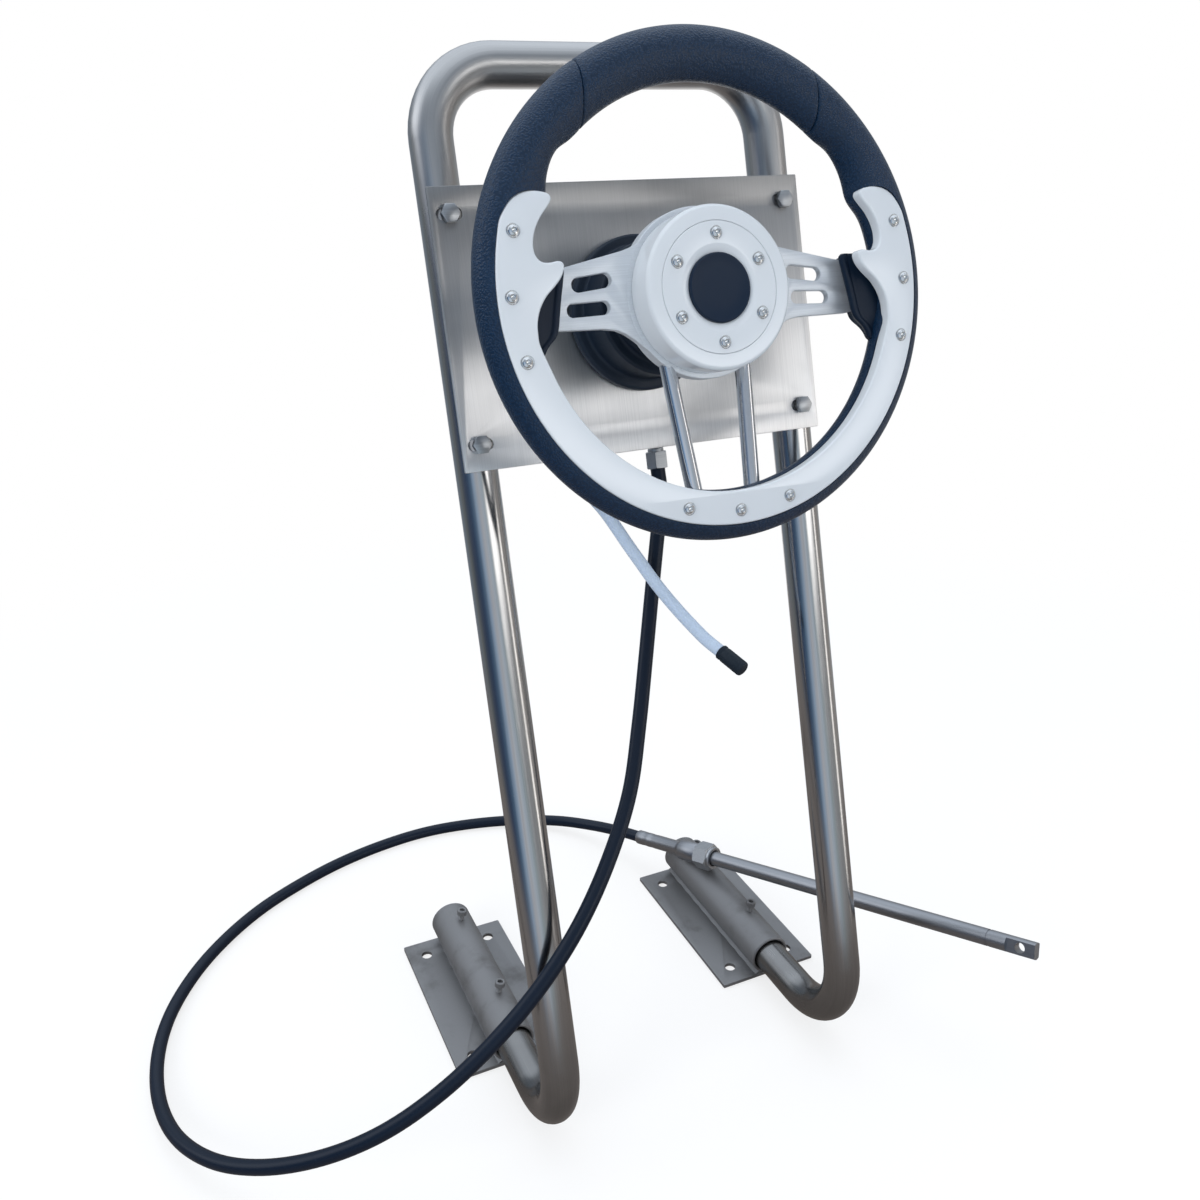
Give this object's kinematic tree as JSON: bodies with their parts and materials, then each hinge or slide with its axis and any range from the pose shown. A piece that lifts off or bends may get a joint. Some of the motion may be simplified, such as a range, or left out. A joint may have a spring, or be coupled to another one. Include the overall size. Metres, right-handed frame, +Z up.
{
  "type": "boat steering helm console",
  "caption": "Free-standing boat steering helm: sport wheel and geared cable helm on a leaning bent-tube console, with a steering cable that pushes a ram.",
  "frame": {"origin": "on the floor, under the middle of the console's box without its free cable", "axes": "+Z up, +X to the driver's right, +Y away from the driver; the driver stands at -Y"},
  "size_m": [0.7589, 0.6204, 0.9008],
  "materials": {
    "tube": "satin stainless tube, brushed along its length",
    "bracket": "bead-blasted grey steel, matte",
    "fastener": "plain stainless fasteners",
    "plate": "stainless sheet brushed up and down",
    "bezel": "fine grained black",
    "housing": "black coated casting",
    "steel": "machined steel",
    "bronze": "bearing bronze",
    "drum": "machined casting",
    "zinc": "dull zinc plate",
    "spent_hose": "milky translucent plastic",
    "rubber": "soft black",
    "cable_jacket": "smooth black jacket",
    "ram_steel": "satin stainless",
    "boss": "dark anodised",
    "spoke_metal": "brushed along the spokes",
    "rod_chrome": "polished",
    "grip": "navy black grained foam skin",
    "white_gloss": "glossy bluish white",
    "pad": "smooth black",
    "black_gloss": "glossy black"
  },
  "bodies": {
    "console": {"frame_tube": "tube", "left_foot_bracket": "bracket", "right_foot_bracket": "bracket", "foot_clamp_screws": "bracket", "helm_plate": "plate", "plate_bolts": "fastener", "plate_washers": "fastener", "plate_nuts": "fastener", "helm_bezel": "bezel", "helm_housing": "housing", "helm_dowels": "steel", "helm_cover": "housing", "cover_screws": "fastener", "shaft_bushings": "bronze", "planet_pins": "steel", "planet_clips": "steel", "cable_core": "steel", "cable_port": "zinc", "spent_port": "zinc", "spent_tube": "spent_hose", "spent_tube_cap": "rubber", "steering_cable": "cable_jacket", "cable_ferrule": "ram_steel", "guide_tube": "steel"},
    "wheel": {"input_shaft": "steel", "sun_gear": "steel", "wheel_boss": "boss", "shaft_key": "steel", "shaft_nut": "fastener", "wheel_spider": "spoke_metal", "spoke_rods": "rod_chrome", "rim_grip_top": "grip", "rim_grip_lower": "grip", "rim_insert": "white_gloss", "insert_screws": "fastener", "left_spoke_pad": "pad", "right_spoke_pad": "pad", "hub_cap": "white_gloss", "hub_ring": "white_gloss", "hub_screws": "fastener", "centre_cap": "black_gloss"},
    "planet_a": {"planet_gear_1": "bronze"},
    "planet_b": {"planet_gear_2": "bronze"},
    "planet_c": {"planet_gear_3": "bronze"},
    "drum": {"cable_drum": "drum"},
    "ram_tube": {"ram": "ram_steel"},
    "swivel_nut": {"coupling_nut": "ram_steel"}
  },
  "joints": [
    {"name": "wheel_turn", "type": "hinge", "parent": "console", "child": "wheel", "pos_m": [0, -0.11188, 0.73203], "axis": [0, -0.9613, 0.2756], "range_deg": [0, 1440]},
    {"name": "drum_turn", "type": "hinge", "parent": "console", "child": "drum", "pos_m": [0, 0.06115, 0.68241], "axis": [0, -0.9613, 0.2756], "range_deg": [-360, 0]},
    {"name": "ram_slide", "type": "slide", "parent": "console", "child": "ram_tube", "axis": [0.3639, -0.9051, 0.2198], "range_m": [0, 0.2262]},
    {"name": "nut_swivel", "type": "hinge", "parent": "console", "child": "swivel_nut", "pos_m": [0.143, 0.1047, 0.06269], "axis": [0.3639, -0.9051, 0.2198], "continuous": true},
    {"name": "planet_a_turn", "type": "hinge", "parent": "console", "child": "planet_a", "pos_m": [0, 0.03082, 0.71452], "axis": [0, -0.9613, 0.2756], "range_deg": [-960, 0]},
    {"name": "planet_b_turn", "type": "hinge", "parent": "console", "child": "planet_b", "pos_m": [-0.01949, 0.02152, 0.68207], "axis": [0, -0.9613, 0.2756], "range_deg": [-960, 0]},
    {"name": "planet_c_turn", "type": "hinge", "parent": "console", "child": "planet_c", "pos_m": [0.01949, 0.02152, 0.68207], "axis": [0, -0.9613, 0.2756], "range_deg": [-960, 0]}
  ],
  "couplings": [
    {"joint": "drum_turn", "follows": "wheel_turn", "ratio": -0.25},
    {"joint": "ram_slide", "follows": "wheel_turn", "m_per_rad": 0.009},
    {"joint": "planet_a_turn", "follows": "wheel_turn", "ratio": -0.66667},
    {"joint": "planet_b_turn", "follows": "wheel_turn", "ratio": -0.66667},
    {"joint": "planet_c_turn", "follows": "wheel_turn", "ratio": -0.66667}
  ]
}
